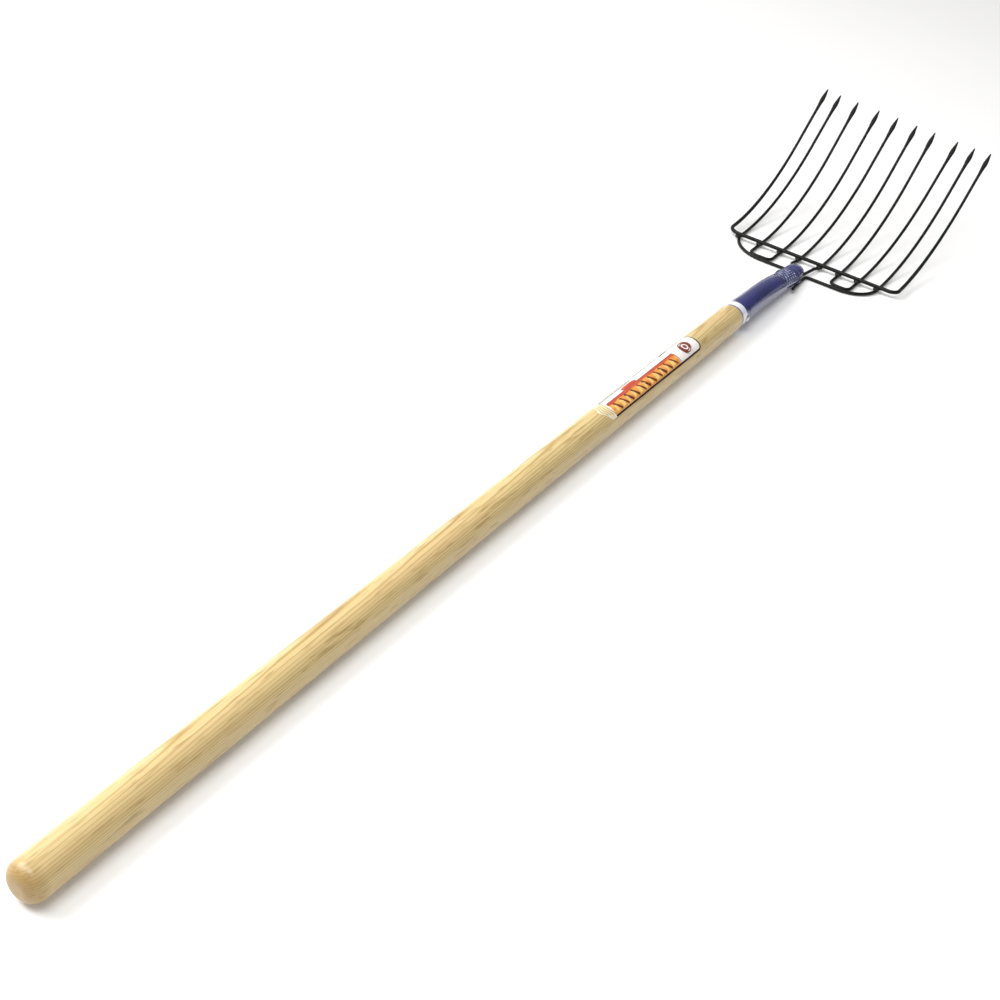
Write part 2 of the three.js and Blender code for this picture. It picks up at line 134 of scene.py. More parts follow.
class Shader:
    """A small wrapper that keeps the node code short."""

    def __init__(self, name):
        self.material = bpy.data.materials.new(name)
        self.material.use_nodes = True
        self.tree = self.material.node_tree
        self.bsdf = self.tree.nodes["Principled BSDF"]

    def node(self, kind, **settings):
        made = self.tree.nodes.new(kind)
        for key, value in settings.items():
            setattr(made, key, value)
        return made

    def link(self, source, target):
        self.tree.links.new(source, target)

    def coordinates(self, scale):
        source = self.node("ShaderNodeTexCoord")
        mapping = self.node("ShaderNodeMapping")
        mapping.inputs["Scale"].default_value = scale
        self.link(source.outputs["Object"], mapping.inputs["Vector"])
        return mapping.outputs["Vector"]

    def noise(self, vector, scale, detail=3.0, roughness=0.5):
        made = self.node("ShaderNodeTexNoise")
        made.inputs["Scale"].default_value = scale
        made.inputs["Detail"].default_value = detail
        made.inputs["Roughness"].default_value = roughness
        self.link(vector, made.inputs["Vector"])
        return made.outputs["Fac"]

    def ramp(self, factor, stops):
        made = self.node("ShaderNodeValToRGB")
        elements = made.color_ramp.elements
        while len(elements) < len(stops):
            elements.new(0.5)
        for element, (position, colour) in zip(elements, stops):
            element.position = position
            element.color = (*colour, 1)
        self.link(factor, made.inputs["Fac"])
        return made.outputs["Color"]

    def mix(self, factor, first, second):
        """Mix two colours. Sockets 0, 6 and 7 are the node's factor and its two colours."""
        made = self.node("ShaderNodeMix", data_type="RGBA")
        for socket, value in ((made.inputs[0], factor), (made.inputs[6], first), (made.inputs[7], second)):
            if isinstance(value, (int, float)):
                socket.default_value = value
            elif isinstance(value, tuple):
                socket.default_value = (*value, 1)
            else:
                self.link(value, socket)
        return made.outputs[2]

    def span(self, value, low, high, out_low, out_high):
        made = self.node("ShaderNodeMapRange")
        for name, number in (("From Min", low), ("From Max", high), ("To Min", out_low), ("To Max", out_high)):
            made.inputs[name].default_value = number
        self.link(value, made.inputs["Value"])
        return made.outputs["Result"]

    def maths(self, operation, *values):
        made = self.node("ShaderNodeMath", operation=operation)
        for socket, value in zip(made.inputs, values):
            if isinstance(value, (int, float)):
                socket.default_value = value
            else:
                self.link(value, socket)
        return made.outputs["Value"]

    def sine(self, value, pitch, phase):
        """A sine wave along a coordinate, with its pitch in metres."""
        turned = self.maths("MULTIPLY", value, 2 * math.pi / pitch)
        return self.maths("SINE", self.maths("ADD", turned, phase))

    def window(self, value, start, stop, rise, fall):
        """One between start and stop, and zero outside them, with soft edges of the given half widths."""
        return self.maths("MULTIPLY", self.span(value, start - rise, start + rise, 0.0, 1.0),
                          self.span(value, stop - fall, stop + fall, 1.0, 0.0))

    def bump(self, height, strength, distance):
        made = self.node("ShaderNodeBump")
        made.inputs["Strength"].default_value = strength
        made.inputs["Distance"].default_value = distance
        self.link(height, made.inputs["Height"])
        self.link(made.outputs["Normal"], self.bsdf.inputs["Normal"])

    def set(self, **values):
        for name, value in values.items():
            self.bsdf.inputs[name.replace("_", " ")].default_value = value


def wood_material():
    shader = Shader("ash_wood_lacquered")
    # Growth rings are cylinders round a pith that runs a little askew beside the handle, so they come
    # to the surface as long lines and, where they graze it, as arches.
    source = shader.node("ShaderNodeTexCoord")
    askew = shader.node("ShaderNodeMapping")
    askew.inputs["Scale"].default_value = (0.15, 1, 1)
    askew.inputs["Rotation"].default_value = (0, math.radians(3.2), math.radians(-4.5))
    askew.inputs["Location"].default_value = (0, 0.022, 0.036)
    shader.link(source.outputs["Object"], askew.inputs["Vector"])
    rings = shader.node("ShaderNodeTexWave", wave_type="RINGS", rings_direction="X", wave_profile="SAW")
    rings.inputs["Scale"].default_value = 150.0
    rings.inputs["Distortion"].default_value = 3.2
    rings.inputs["Detail"].default_value = 2.0
    rings.inputs["Detail Scale"].default_value = 0.3
    shader.link(askew.outputs["Vector"], rings.inputs["Vector"])
    wander = shader.noise(shader.coordinates((1.1, 9, 9)), 3.0, 2.0)
    pores = shader.noise(shader.coordinates((14, 620, 620)), 1.0, 3.0, 0.6)
    flecks = shader.noise(shader.coordinates((30, 330, 330)), 1.0, 2.0, 0.5)
    blush = shader.noise(shader.coordinates((2.4, 34, 34)), 1.0, 2.0, 0.5)
    base = shader.ramp(rings.outputs["Fac"], [
        (0.0, (0.67, 0.53, 0.27)), (0.62, (0.64, 0.485, 0.22)), (0.86, (0.38, 0.235, 0.065)),
        (1.0, (0.62, 0.465, 0.20)),
    ])
    base = shader.mix(shader.span(wander, 0.4, 0.7, 0.0, 0.5), base, (0.66, 0.51, 0.24))
    base = shader.mix(shader.span(blush, 0.52, 0.72, 0.0, 0.4), base, (0.66, 0.42, 0.21))
    base = shader.mix(shader.span(pores, 0.5, 0.72, 0.0, 0.35), base, (0.38, 0.24, 0.085))
    base = shader.mix(shader.span(flecks, 0.56, 0.70, 0.0, 0.6), base, (0.34, 0.20, 0.065))
    # End grain drinks more lacquer and stays darker over the dome.
    split = shader.node("ShaderNodeSeparateXYZ")
    shader.link(source.outputs["Object"], split.inputs["Vector"])
    dome_tip, dome_start = place(-HANDLE_SHOWN + 1, 0, 0).x, place(-HANDLE_SHOWN + 17, 0, 0).x
    end_grain = shader.span(split.outputs["X"], dome_tip, dome_start, 0.8, 0.0)
    base = shader.mix(end_grain, base, (0.33, 0.195, 0.055))
    shader.link(base, shader.bsdf.inputs["Base Color"])
    shader.link(shader.span(pores, 0.3, 0.8, 0.32, 0.46), shader.bsdf.inputs["Roughness"])
    shader.set(Coat_Weight=0.3, Coat_Roughness=0.22, Specular_IOR_Level=0.4)
    shader.bump(pores, 0.10, 0.0004)
    return shader.material


def enamel_material():
    shader = Shader("blue_enamel_gloss")
    cloud = shader.noise(shader.coordinates((30, 60, 60)), 1.0, 3.0)
    peel = shader.noise(shader.coordinates((1, 1, 1)), 620.0, 2.0)
    scuffs = shader.noise(shader.coordinates((240, 900, 900)), 1.0, 2.0, 0.6)
    base = shader.mix(shader.span(cloud, 0.3, 0.7, 0.0, 1.0), (0.003, 0.006, 0.085), (0.009, 0.015, 0.17))
    base = shader.mix(shader.span(scuffs, 0.64, 0.75, 0.0, 0.4), base, (0.10, 0.11, 0.28))
    # Painted highlight near the mouth: a pale whitish band put into the colour, standing partly for the bare
    # rim where the paint stops and partly for the light that the rolled lip catches.
    source = shader.node("ShaderNodeTexCoord")
    split = shader.node("ShaderNodeSeparateXYZ")
    shader.link(source.outputs["Object"], split.inputs["Vector"])
    edge = shader.maths("ADD", split.outputs["X"], shader.span(cloud, 0.3, 0.7, -0.0006, 0.0006))
    rim_and_painted_highlight = shader.window(edge, place(RING_START, 0, 0).x, place(RING_END, 0, 0).x, 0.0004, 0.0005)
    base = shader.mix(rim_and_painted_highlight, base, (0.78, 0.81, 0.88))
    # Painted highlights: lighter blue dots on the lands between the punch marks, on top of the neck and fewer
    # on its left, stand for the glints that the punched surface catches.
    rows, columns = shader.sine(edge, 0.0082, 0.6), shader.sine(split.outputs["Y"], 0.0078, 1.1)
    land_glints = shader.span(shader.maths("MULTIPLY", rows, columns), 0.28, 0.6, 0.0, 0.85)
    glint_start, glint_stop = place(GLINT_START, 0, 0).x, place(GLINT_END, 0, 0).x
    glint_zone = shader.window(edge, glint_start, glint_stop, 0.0035, 0.002)
    glint_zone = shader.maths("MULTIPLY", glint_zone, shader.span(split.outputs["Y"], 0.004, 0.013, 1.0, 0.15))
    neck_top = place(180, 0, -8).z
    glint_zone = shader.maths("MULTIPLY", glint_zone, shader.span(split.outputs["Z"], neck_top, neck_top + 0.004, 0.0, 1.0))
    base = shader.mix(shader.maths("MULTIPLY", glint_zone, land_glints), base, (0.42, 0.46, 0.72))
    shader.link(base, shader.bsdf.inputs["Base Color"])
    shader.link(shader.span(cloud, 0.2, 0.8, 0.2, 0.32), shader.bsdf.inputs["Roughness"])
    shader.set(Coat_Weight=0.6, Coat_Roughness=0.12, Specular_IOR_Level=0.7)
    shader.bump(peel, 0.08, 0.0003)
    return shader.material


def black_material(name, low, high, rough_low, rough_high, grain):
    shader = Shader(name)
    cloud = shader.noise(shader.coordinates((60, 60, 60)), 1.0, 3.0)
    fine = shader.noise(shader.coordinates((1, 1, 1)), grain, 3.0, 0.6)
    wear = shader.noise(shader.coordinates((180, 180, 180)), 1.0, 4.0, 0.65)
    base = shader.mix(shader.span(cloud, 0.3, 0.7, 0.0, 1.0), low, high)
    base = shader.mix(shader.span(wear, 0.64, 0.76, 0.0, 0.5), base, (0.04, 0.043, 0.04))
    shader.link(base, shader.bsdf.inputs["Base Color"])
    shader.link(shader.span(fine, 0.3, 0.7, rough_low, rough_high), shader.bsdf.inputs["Roughness"])
    shader.set(Specular_IOR_Level=0.22)
    shader.bump(fine, 0.18, 0.0004)
    return shader.material


def steel_material():
    shader = Shader("bright_zinc")
    spangle = shader.noise(shader.coordinates((1, 1, 1)), 900.0, 2.0)
    base = shader.mix(spangle, (0.52, 0.53, 0.56), (0.72, 0.73, 0.75))
    shader.link(base, shader.bsdf.inputs["Base Color"])
    shader.link(shader.span(spangle, 0.3, 0.7, 0.24, 0.4), shader.bsdf.inputs["Roughness"])
    shader.set(Metallic=1.0)
    shader.bump(spangle, 0.1, 0.0002)
    return shader.material


def print_material(name, first, second, scale=(120, 400, 400), rough=0.3, coat=0.25):
    shader = Shader(name)
    tone = shader.noise(shader.coordinates(scale), 1.0, 3.0, 0.6)
    fibre = shader.noise(shader.coordinates((1, 1, 1)), 1500.0, 2.0)
    base = shader.mix(shader.span(tone, 0.35, 0.65, 0.0, 1.0), first, second)
    shader.link(base, shader.bsdf.inputs["Base Color"])
    shader.link(shader.span(fibre, 0.3, 0.7, rough - 0.05, rough + 0.08), shader.bsdf.inputs["Roughness"])
    shader.set(Coat_Weight=coat, Coat_Roughness=0.15, Specular_IOR_Level=coat)
    shader.bump(fibre, 0.05, 0.0001)
    return shader.material


WOOD = wood_material()
ENAMEL = enamel_material()
BLACK = black_material("black_lacquer_rod", (0.003, 0.0035, 0.003), (0.007, 0.008, 0.007), 0.3, 0.48, 1400.0)
WELD = black_material("black_weld_bead", (0.007, 0.0075, 0.0075), (0.015, 0.016, 0.015), 0.38, 0.6, 2400.0)
ZINC = steel_material()
FILM = print_material("label_film_white", (0.90, 0.85, 0.82), (0.86, 0.79, 0.77))
INK = print_material("label_ink_dark", (0.028, 0.010, 0.008), (0.055, 0.022, 0.018), rough=0.5, coat=0.05)
ORANGE = print_material("label_ink_orange", (0.76, 0.26, 0.04), (0.84, 0.42, 0.10), (40, 260, 260))
RUST = print_material("label_ink_rust", (0.12, 0.03, 0.02), (0.24, 0.06, 0.035), (200, 300, 300), 0.45, 0.08)
PEACH = print_material("label_ink_peach", (0.95, 0.68, 0.24), (0.90, 0.54, 0.17), (60, 300, 300))
RED = print_material("label_ink_red", (0.46, 0.045, 0.03), (0.60, 0.12, 0.05), (50, 260, 260))
CREAM = print_material("label_ink_cream", (0.86, 0.76, 0.50), (0.80, 0.66, 0.38), (40, 300, 300))
TAN = print_material("label_ink_tan", (0.42, 0.27, 0.10), (0.52, 0.36, 0.15), (60, 300, 300))

# ---------------------------------------------------------------------------------------------------
# Mesh helpers.


def piece(name, vertices, faces, material, replaced=(), angle=None):
    mesh = bpy.data.meshes.new(name)
    mesh.from_pydata([tuple(v) for v in vertices], [], faces)
    mesh.validate()
    mesh.materials.append(material)
    made = bpy.data.objects.new(name, mesh)
    bpy.context.scene.collection.objects.link(made)
    mesh.shade_smooth()
    if angle:
        mesh.set_sharp_from_angle(angle=math.radians(angle))
    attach(made, "root")
    if replaced:
        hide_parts(*replaced)
    return made


def tube_faces(rings, sides, capped=True):
    """Faces that join rings of vertices into a tube, with or without flat ends."""
    faces = []
    for ring in range(rings - 1):
        for side in range(sides):
            a = ring * sides + side
            b = ring * sides + (side + 1) % sides
            faces.append((a, b, b + sides, a + sides))
    if capped:
        faces.append(tuple(range(sides - 1, -1, -1)))
        faces.append(tuple(range((rings - 1) * sides, rings * sides)))
    return faces


def eased(table, at):
    """Reads a table of rows (position, value, ...) with a smooth curve that never overshoots its rows."""
    if at <= table[0][0]:
        return list(table[0][1:])
    if at >= table[-1][0]:
        return list(table[-1][1:])
    i = next(k for k in range(1, len(table)) if table[k][0] >= at)

    def slope(k, column):
        if k in (0, len(table) - 1):
            j = 1 if k == 0 else k
            return (table[j][column] - table[j - 1][column]) / (table[j][0] - table[j - 1][0])
        before = (table[k][column] - table[k - 1][column]) / (table[k][0] - table[k - 1][0])
        after = (table[k + 1][column] - table[k][column]) / (table[k + 1][0] - table[k][0])
        return 0.0 if before * after <= 0 else 2 * before * after / (before + after)

    x0, x1 = table[i - 1][0], table[i][0]
    width = x1 - x0
    u = (at - x0) / width
    values = []
    for column in range(1, len(table[0])):
        y0, y1 = table[i - 1][column], table[i][column]
        m0, m1 = slope(i - 1, column) * width, slope(i, column) * width
        values.append(
            (2 * u ** 3 - 3 * u ** 2 + 1) * y0 + (u ** 3 - 2 * u ** 2 + u) * m0
            + (3 * u ** 2 - 2 * u ** 3) * y1 + (u ** 3 - u ** 2) * m1
        )
    return values


def smoothstep(value, low, high):
    u = min(1.0, max(0.0, (value - low) / (high - low)))
    return u * u * (3 - 2 * u)


# ---------------------------------------------------------------------------------------------------
# Rods of the head.

ROD_SIDES = 20
BEND_SPACING = 2.5
BEND_DEGREES = 7
STRAIGHT_SPACING = 6
POINT_REACH = 43
LEAST_SPACING = 0.15


def bent_path(corners):
    """Straight runs joined by round bends, as a close row of points."""
    points = [corners[0][0].copy()]
    for i in range(1, len(corners) - 1):
        at, radius = corners[i]
        back = (corners[i - 1][0] - at).normalized()
        ahead = (corners[i + 1][0] - at).normalized()
        turn = math.pi - back.angle(ahead)
        reach = radius * math.tan(turn / 2)
        centre = at + (back + ahead).normalized() * (radius / math.cos(turn / 2))
        start, end = at + back * reach - centre, at + ahead * reach - centre
        axis = start.cross(end).normalized()
        steps = max(3, math.ceil(turn * radius / BEND_SPACING), math.ceil(math.degrees(turn) / BEND_DEGREES))
        for step in range(steps + 1):
            points.append(Matrix.Rotation(turn * step / steps, 3, axis) @ start + centre)
    points.append(corners[-1][0].copy())
    dense = [points[0]]
    for point in points[1:]:
        gap = (point - dense[-1]).length
        if gap < 0.05:
            continue
        parts = max(1, math.ceil(gap / STRAIGHT_SPACING))
        before = dense[-1]
        dense.extend(before.lerp(point, k / parts) for k in range(1, parts + 1))
    return dense


def lengths(points):
    distances = [0.0]
    for before, after in zip(points, points[1:]):
        distances.append(distances[-1] + (after - before).length)
    return distances


def point_at(points, distances, distance):
    distance = min(max(distance, 0.0), distances[-1])
    i = next(k for k in range(1, len(distances)) if distances[k] >= distance - 1e-9)
    run = distances[i] - distances[i - 1]
    share = (distance - distances[i - 1]) / run
    return points[i - 1].lerp(points[i], share)


def rod(name, corners, base_radius, pointed_ends):
    """A bent rod. It starts at a tine's point, and ends at one too if pointed_ends is 2."""
    path = bent_path(corners)
    distances = lengths(path)
    total = distances[-1]
    # Close stations over the flattened points and the rounded ends, and the path's own elsewhere.
    near_point = [k * 1.5 for k in range(29)]
    tip = (0.4, 0.8, 2.2)
    plain_end = total - POINT_REACH if pointed_ends == 2 else total
    stations = {*near_point, *tip, *(d for d in distances if POINT_REACH < d < plain_end)}
    if pointed_ends == 2:
        stations |= {total - d for d in (*near_point, *tip)}
    else:
        stations |= {total - d for d in (2.0, 1.2, 0.6, 0.2, 0)}
    stations = sorted(stations)
    kept = [stations[0]]
    for station in stations[1:]:
        if station - kept[-1] > LEAST_SPACING:
            kept.append(station)
    centres = [point_at(path, distances, d) for d in kept]
    vertices = []
    for i, (distance, centre) in enumerate(zip(kept, centres)):
        before, after = centres[max(0, i - 1)], centres[min(len(centres) - 1, i + 1)]
        tangent = (after - before).normalized()
        across = Vector((0, 0, 1)).cross(tangent).normalized()
        upward = tangent.cross(across)
        from_point = min(distance, total - distance) if pointed_ends == 2 else distance
        share = smoothstep(from_point, TAPER_START, TAPER_END)
        wide = thick = TINE_RADIUS + (base_radius - TINE_RADIUS) * share
        if from_point < POINT_SECTIONS[-1][0]:
            wide, thick = eased(POINT_SECTIONS, from_point)
            if from_point < 1:
                round_off = math.sqrt(max(0.0, 1 - (1 - from_point) ** 2)) * 0.5 + 0.5
                wide, thick = wide * round_off, thick * round_off
        if pointed_ends == 1 and total - distance < 2:
            left = (total - distance) / 2
            round_off = 0.55 + 0.45 * math.sqrt(max(0.0, 1 - (1 - left) ** 2))
            wide, thick = wide * round_off, thick * round_off
        # A forged point is a little lens-shaped, with slightly uneven faces. The body's own unevenness
        # only ever takes away from the design radius.
        flat = smoothstep(POINT_SECTIONS[-1][0] - from_point, 4, 26)
        for side in range(ROD_SIDES):
            angle = 2 * math.pi * side / ROD_SIDES
            cos, sin = math.cos(angle), math.sin(angle)
            dent = 1 + 0.035 * flat * noise.noise(centre * 0.11 + Vector((cos, sin, 3)) * 1.3)
            body = 0.994 + 0.006 * noise.noise(centre * 0.035 + Vector((cos, sin, 0)) * 0.8)
            lens = 1 - 0.16 * flat * (abs(cos) ** 1.5) * abs(sin)
            offset = across * (cos * wide * body) + upward * (sin * thick * dent * body * lens)
            vertices.append(place(*(centre + offset)))
    return piece(name, vertices, tube_faces(len(kept), ROD_SIDES), BLACK, (name,), angle=50)


def tine(number, level=TINE_LEVEL, knee_to_point=KNEE_TO_POINT, radius=TINE_ARC_RADIUS):
    base, point = TINES[number - 1]
    rise = knee_to_point + TINE_SLANT * point
    run = radius * math.tan(TINE_RISE / 2)
    knee_y = base + (point - base) * run / (run + rise)
    end = Vector((TINE_KNEE_X + rise * math.cos(TINE_RISE), point, level + rise * math.sin(TINE_RISE)))
    return [(end, 0), (Vector((TINE_KNEE_X, knee_y, level)), radius)]


def corner(x, y, z, radius=0):
    return (Vector((x, y, z)), radius)


def foot(number):
    """A tine's distance from the middle at the crossbar."""
    return TINES[number - 1][0]


outer = {"level": CROSSBAR_LEVEL, "knee_to_point": OUTER_KNEE_TO_POINT}
rod("outer_rod", [
    *tine(1, radius=312, **outer),
    corner(CROSSBAR_X, 129.4, CROSSBAR_LEVEL, 18),
    corner(CROSSBAR_X, -133.2, CROSSBAR_LEVEL, 12),
    *tine(10, **outer)[::-1],
], CROSSBAR_RADIUS, 2)
rod("rear_bow_left", [
    *tine(2),
    corner(REAR_BAR_X, foot(2), TINE_LEVEL, 55.5),
    corner(REAR_BAR_X, 16.2, TINE_LEVEL, 6),
    corner(205, 16.4, -15.2, 30),
    corner(156, 18.5, -8.3),
], BASE_RADIUS, 1)
rod("rear_bow_right", [
    *tine(9),
    corner(REAR_BAR_X, foot(9), TINE_LEVEL, 43.5),
    corner(REAR_BAR_X, -14, TINE_LEVEL, 6),
    corner(205, -14.6, -16.8, 30),
    corner(165, -18.7, -12.4),
], BASE_RADIUS, 1)
rod("inner_rod_left", [
    *tine(3),
    corner(INNER_LEFT_BASE_X, foot(3), TINE_LEVEL, 9),
    corner(INNER_LEFT_BASE_X, foot(4), TINE_LEVEL, 9),
    *tine(4)[::-1],
], BASE_RADIUS, 2)
rod("inner_rod_right", [
    *tine(8),
    corner(INNER_RIGHT_BASE_X, foot(8), TINE_LEVEL, 9),
    corner(INNER_RIGHT_BASE_X, foot(7), TINE_LEVEL, 9),
    *tine(7)[::-1],
], BASE_RADIUS, 2)
rod("centre_tine_left", [
    *tine(5),
    corner(266, 16, TINE_LEVEL, 30),
    corner(248, 17.8, -16.2, 12),
    corner(233, 12, -14.8, 12),
    corner(150, 7.8, -6.4, 60),
    corner(75, 7.6, -0.8, 60),
    corner(34, 7.6, -0.8),
], BASE_RADIUS, 1)
rod("centre_tine_right", [
    *tine(6),
    corner(268, -17, TINE_LEVEL, 12),
    corner(256, -13.9, -15.5, 12),
    corner(228, -10.6, -14.8, 30),
    corner(212, -8.2, -13.2, 30),
    corner(150, -7.8, -6.4, 60),
    corner(75, -7.6, -0.8, 60),
    corner(34, -7.6, -0.8),
], BASE_RADIUS, 1)

# ---------------------------------------------------------------------------------------------------
# Weld beads: a row of overlapping puddles, a little different each time.


def weld(name, at, half, seed, material=WELD, run=Vector((0, 1, 0))):
    """A bead with the given half sizes, rippled along the direction it was run in."""
    columns, rows = 40, 28
    vertices = []
    for row in range(rows + 1):
        polar = math.pi * row / rows
        for column in range(columns):
            turn = 2 * math.pi * column / columns
            unit = Vector((math.sin(polar) * math.cos(turn), math.sin(polar) * math.sin(turn), math.cos(polar)))
            along = unit.dot(run)
            ripple = 1 + 0.045 * math.cos(along * 13 + seed)
            lump = 1 + 0.13 * noise.noise(unit * 1.7 + Vector((seed, 0, 0)))
            grit = 1 + 0.03 * noise.noise(unit * 6 + Vector((0, seed, 0)))
            unit *= ripple * lump * grit
            vertices.append(place(*(at[k] + unit[k] * half[k] for k in range(3))))
    return piece(name, vertices, tube_faces(rows + 1, columns, capped=False), material, (name,))


CROSSING_WELD = Vector((5.6, 4.8, 3))
REAR_BAR_WELD = Vector((4, 7, 2))
TANG_WELD = Vector((11, 1.9, 2.3))
CROSSING_LEVEL = TINE_LEVEL + BASE_RADIUS + 0.5
LENGTHWISE = Vector((1, 0, 0))

for number in range(2, 10):
    weld(f"crossbar_weld_{number}", Vector((CROSSBAR_X, foot(number), CROSSING_LEVEL)), CROSSING_WELD,
         number * 1.7)
for side, sign, base_x, seed in (("left", 1, INNER_LEFT_BASE_X, 20.3), ("right", -1, INNER_RIGHT_BASE_X, 23.9)):
    weld(f"rear_bar_weld_{side}", Vector(((REAR_BAR_X + base_x) / 2, sign * REAR_BAR_WELD_Y, TINE_LEVEL)),
         REAR_BAR_WELD, seed)
for side, at, seed in (("left", (191, 16.7, -10), 31.1), ("right", (193, -14.9, -13.6), 37.7)):
    weld(f"tang_weld_{side}", Vector(at), TANG_WELD, seed, ENAMEL, LENGTHWISE)

# ---------------------------------------------------------------------------------------------------
# Ferrule.

FERRULE_SIDES = 112
PUNCH_START, PUNCH_PITCH, PUNCH_DEPTH = 149, 6.6, 1.25
PUNCH_LENGTH, PUNCH_DEGREES = 1.7, 5.2
DIE_EDGE_X, DIE_EDGE_BOW = 197, 6.5


def ferrule_relief(x, angle):
    """How far the pressed and punched surface stands off the plain tube, in millimetres."""
    top = math.degrees(angle) - 90
    # The rolled lip at the mouth, and the shallow groove beside it.
    relief = 0.2 * math.exp(-((x - 3.2) / 2.2) ** 2)
    relief -= 0.35 * math.exp(-((x - 20) / 4.0) ** 2)
    # Rows of punch marks on top of the neck.
    if abs(top) < 80:
        for row in range(7):
            for column in range(-3, 3):
                dx = (x - PUNCH_START - PUNCH_PITCH * row - 1.1 * column) / PUNCH_LENGTH
                dy = (top - 17 * column - 2 * row + 4) / PUNCH_DEGREES
                if dx * dx < 9 and dy * dy < 9:
                    relief -= PUNCH_DEPTH * math.exp(-dx * dx - dy * dy)
    # The edge that the flattening die leaves across the top.
    if abs(top) < 90:
        edge = DIE_EDGE_X + DIE_EDGE_BOW * math.cos(math.radians(top))
        across = max(0.0, math.cos(math.radians(top * 0.95)))
        relief += across * math.exp(-((x - edge) / 2.2) ** 2)
        relief -= 0.8 * across * math.exp(-((x - edge - 6) / 3.4) ** 2)
    return relief


def ferrule():
    vertices = []

    def ring(x, inset=0.0, relief=True):
        y, z, wide, tall = eased(FERRULE_SECTIONS, x)
        for side in range(FERRULE_SIDES):
            angle = 2 * math.pi * side / FERRULE_SIDES
            off = (ferrule_relief(x, angle) if relief else 0.0) - inset
            vertices.append(place(x, y + (wide + off) * math.cos(angle), z + (tall + off) * math.sin(angle)))

    # From inside the mouth, round the lip, along the outside, and over the closed end.
    for x, inset in ((40, 1.5), (2, 1.5), (0.3, 1.3), (0.0, 0.9), (0.15, 0.35)):
        ring(x, inset, inset < 1)
    for x in [0.5, *(k * 1.25 for k in range(1, 188)), 234.6, 235.1, 235.5, 235.8, 236.0]:
        ring(x)
    y, z, wide, tall = FERRULE_SECTIONS[-1][1:]
    for share, forward in ((0.6, 0.075), (0.3, 0.114)):
        for side in range(FERRULE_SIDES):
            angle = 2 * math.pi * side / FERRULE_SIDES
            vertices.append(place(236 + forward, y + wide * share * math.cos(angle),
                                  z + tall * share * math.sin(angle)))
    rings = len(vertices) // FERRULE_SIDES
    faces = tube_faces(rings, FERRULE_SIDES, capped=False)
    faces.append(tuple(range((rings - 1) * FERRULE_SIDES, rings * FERRULE_SIDES)))
    return piece("ferrule", vertices, faces, ENAMEL, ("ferrule",), angle=45)


ferrule()


def rivet():
    """A round head on each side of the ferrule and the shank between them."""
    profile = [(0.02, 19.15), (1.4, 19.1), (2.6, 18.85), (3.5, 18.4), (4.05, 17.9), (4.2, 17.45), (4.1, 17.2),
               (2.4, 17.2), (2.4, 0)]
    rows = profile[:-1] + [(radius, -y) for radius, y in profile[::-1]]
    sides = 40
    vertices = []
    for radius, y in rows:
        for side in range(sides):
            angle = 2 * math.pi * side / sides
            vertices.append(place(RIVET_X + radius * math.cos(angle), y, radius * math.sin(angle)))
    faces = tube_faces(len(rows), sides)
    return piece("ferrule_rivet", vertices, faces, ZINC, ("ferrule_rivet",), angle=40)


rivet()

# ---------------------------------------------------------------------------------------------------
# Handle.


def handle():
    sides, ring_gap = 96, 8
    profile = [(0.3, -HANDLE_SHOWN), (3, -HANDLE_SHOWN)]
    dome_width = HANDLE_RADIUS - BUTT_FLAT_RADIUS
    for step in range(15):
        angle = (step / 14) * math.pi / 2
        profile.append((BUTT_FLAT_RADIUS + dome_width * math.sin(angle),
                        -HANDLE_SHOWN + BUTT_DOME * (1 - math.cos(angle))))
    x = -HANDLE_SHOWN + BUTT_DOME + ring_gap
    while x < -SHOULDER_TAPER:
        profile.append((HANDLE_RADIUS, x))
        x += ring_gap
    for step in range(9):
        share = step / 8
        profile.append((HANDLE_RADIUS + (SHOULDER_RADIUS - HANDLE_RADIUS) * share,
                        -SHOULDER_TAPER + (SHOULDER_TAPER - 1.5) * share))
    profile += [(SHOULDER_RADIUS - 0.25, -0.75), (SHOULDER_RADIUS - 0.8, -0.35), (15.3, -0.3),
                (14.0, HANDLE_IN_FERRULE), (1.0, HANDLE_IN_FERRULE)]
    vertices = []
    for radius, x in profile:
        for side in range(sides):
            angle = 2 * math.pi * side / sides
            # Turning and sanding leave the stick true to about a tenth of a millimetre.
            spot = Vector((x * 0.008, math.cos(angle), math.sin(angle)))
            true = radius - (0.10 + 0.10 * noise.noise(spot * 1.5)) * min(1.0, radius / 18)
            vertices.append(place(x, true * math.cos(angle), true * math.sin(angle)))
    return piece("handle", vertices, tube_faces(len(profile), sides), WOOD, ("handle",), angle=35)


handle()

# ---------------------------------------------------------------------------------------------------
# Label: a printed film with a plain border, a band of slanted bars and a target, and no lettering.

FILM_RADIUS = HANDLE_RADIUS + 0.06
FILM_THICKNESS = 0.18


def label_half_width(x):
    """Half width of the label in degrees, at a distance along it."""
    half = LABEL_HALF_ANGLE
    if x < LABEL_START_X + LABEL_POINT:
        return half * max(0.0, (x - LABEL_START_X) / LABEL_POINT)
    into = LABEL_END_X - x
    if into < LABEL_CORNER:
        gone = LABEL_CORNER - math.sqrt(max(0.0, LABEL_CORNER ** 2 - (LABEL_CORNER - into) ** 2))
        return half - math.degrees(gone / HANDLE_RADIUS) * 1.1
    return half


def on_handle(x, degrees, lift):
    angle = math.radians(degrees)
    return place(x, (FILM_RADIUS + lift) * math.cos(angle), (FILM_RADIUS + lift) * math.sin(angle))


